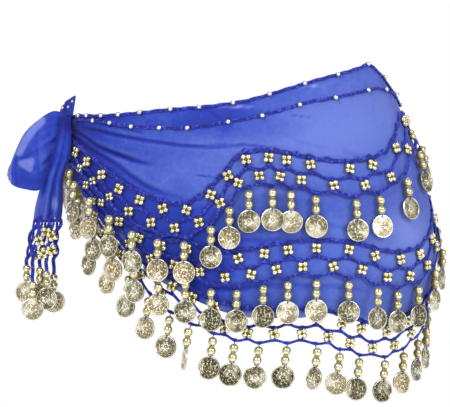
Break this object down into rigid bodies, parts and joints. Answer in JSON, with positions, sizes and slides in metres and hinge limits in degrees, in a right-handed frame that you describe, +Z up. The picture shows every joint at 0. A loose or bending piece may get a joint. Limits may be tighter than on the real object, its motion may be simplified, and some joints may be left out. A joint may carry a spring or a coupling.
{
  "type": "belly dance hip scarf",
  "caption": "Tied hip scarf of sheer blue chiffon with a bow knot at one side, crocheted net bands of gold flower beads and hanging coin drops.",
  "frame": {"origin": "middle of the hips that the scarf is tied round, at belt height", "axes": "+Z up, +X from the knot's side across to the other hip, -Y towards the front"},
  "size_m": [0.3847, 0.2643, 0.291],
  "materials": {
    "chiffon": "sheer matt weave",
    "crochet": "matt crocheted thread",
    "gilt": "polished pale gilt",
    "silver": "polished silver bead"
  },
  "bodies": {
    "root": {"chiffon_wrap": "chiffon", "waist_chain": "crochet", "stay_chain": "crochet", "net_a_front": "crochet", "net_a_back": "crochet", "net_b_front": "crochet", "net_b_back": "crochet", "net_c_front": "crochet", "net_c_back": "crochet", "drops_a_front": "gilt", "drops_a_back": "gilt", "drops_b_front": "gilt", "drops_b_back": "gilt", "drops_c_front": "gilt", "drops_c_back": "gilt", "knot": "chiffon", "knot_tip": "chiffon", "bow_loop": "chiffon", "tail": "chiffon", "tail_fringe": "gilt"}
  },
  "joints": []
}
